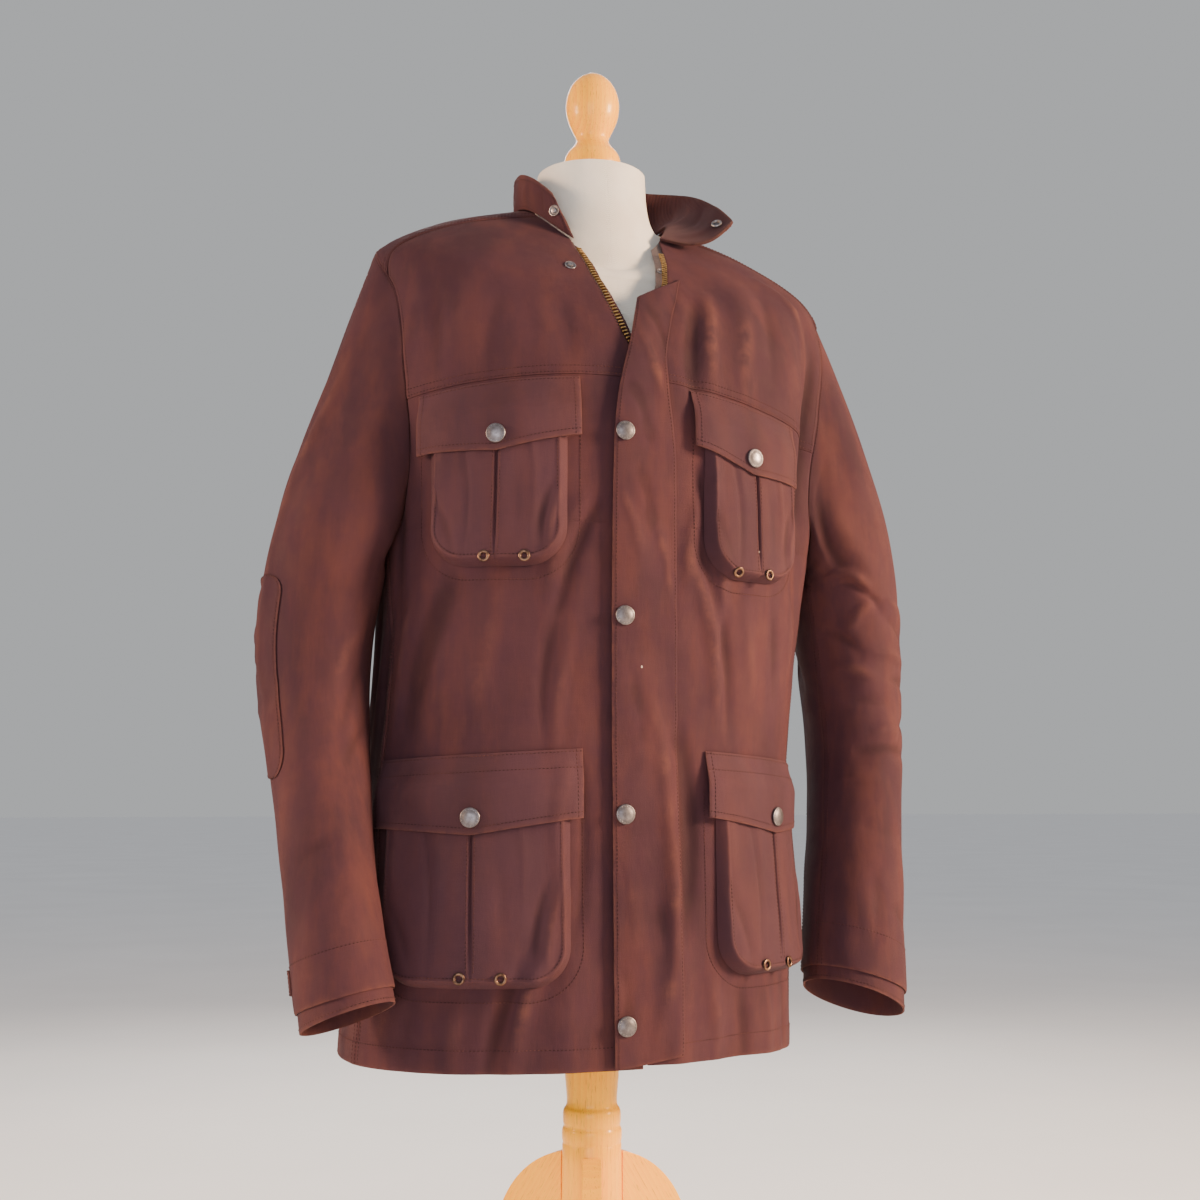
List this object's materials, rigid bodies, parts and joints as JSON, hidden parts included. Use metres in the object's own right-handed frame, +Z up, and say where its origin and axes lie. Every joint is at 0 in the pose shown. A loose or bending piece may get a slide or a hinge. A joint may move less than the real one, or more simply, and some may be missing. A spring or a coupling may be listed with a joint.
{
  "type": "waxed cotton jacket on a dress form",
  "caption": "Brown waxed cotton field jacket with bellows pockets, storm fly and corduroy-faced collar, worn by a limbless dress form on a turned wooden stand.",
  "frame": {"origin": "on the floor, at the centre of the whole object's footprint box", "axes": "+Z up, wearer facing -Y, so the wearer's left is +X"},
  "size_m": [0.6482, 0.457, 1.4138],
  "materials": {
    "waxed_cotton": "brown waxed cotton, satin, mottled and paler at worn edges",
    "corduroy": "dark brown needlecord, matt with a soft nap",
    "jersey": "off-white cotton jersey, matt",
    "beech": "orange-yellow varnish over beech",
    "dark_nickel": "aged dark nickel, worn bright on the rims",
    "brass": "dulled brass",
    "tape": "dark woven cotton tape"
  },
  "bodies": {
    "root": {"back": "waxed_cotton", "cap_chest_left": "dark_nickel", "cap_chest_right": "dark_nickel", "cap_fly_1": "dark_nickel", "cap_fly_2": "dark_nickel", "cap_fly_3": "dark_nickel", "cap_fly_4": "dark_nickel", "cap_hip_left": "dark_nickel", "cap_hip_right": "dark_nickel", "collar": "waxed_cotton", "collar_facing": "corduroy", "collar_socket": "dark_nickel", "collar_stud": "dark_nickel", "column": "beech", "cuff_left": "waxed_cotton", "cuff_right": "waxed_cotton", "cuff_strap_left": "waxed_cotton", "cuff_strap_right": "waxed_cotton", "elbow_patch_left": "waxed_cotton", "elbow_patch_right": "waxed_cotton", "eyelet_chest_left_1": "brass", "eyelet_chest_left_2": "brass", "eyelet_chest_right_1": "brass", "eyelet_chest_right_2": "brass", "eyelet_hip_left_1": "brass", "eyelet_hip_left_2": "brass", "eyelet_hip_right_1": "brass", "eyelet_hip_right_2": "brass", "finial": "beech", "flap_chest_left": "waxed_cotton", "flap_chest_right": "waxed_cotton", "flap_hip_left": "waxed_cotton", "flap_hip_right": "waxed_cotton", "form_torso": "jersey", "front_lower_left": "waxed_cotton", "front_lower_right": "waxed_cotton", "front_upper_left": "waxed_cotton", "front_upper_right": "waxed_cotton", "leg_front": "beech", "leg_left": "beech", "leg_right": "beech", "neck_socket": "dark_nickel", "neck_stud": "dark_nickel", "pouch_chest_left": "waxed_cotton", "pouch_chest_right": "waxed_cotton", "pouch_hip_left": "waxed_cotton", "pouch_hip_right": "waxed_cotton", "sleeve_top_left": "waxed_cotton", "sleeve_top_right": "waxed_cotton", "sleeve_under_left": "waxed_cotton", "sleeve_under_right": "waxed_cotton", "storm_fly": "waxed_cotton", "yoke": "waxed_cotton", "zip_guard": "waxed_cotton", "zip_slider": "brass", "zip_tape_left": "tape", "zip_tape_right": "tape"}
  },
  "joints": []
}
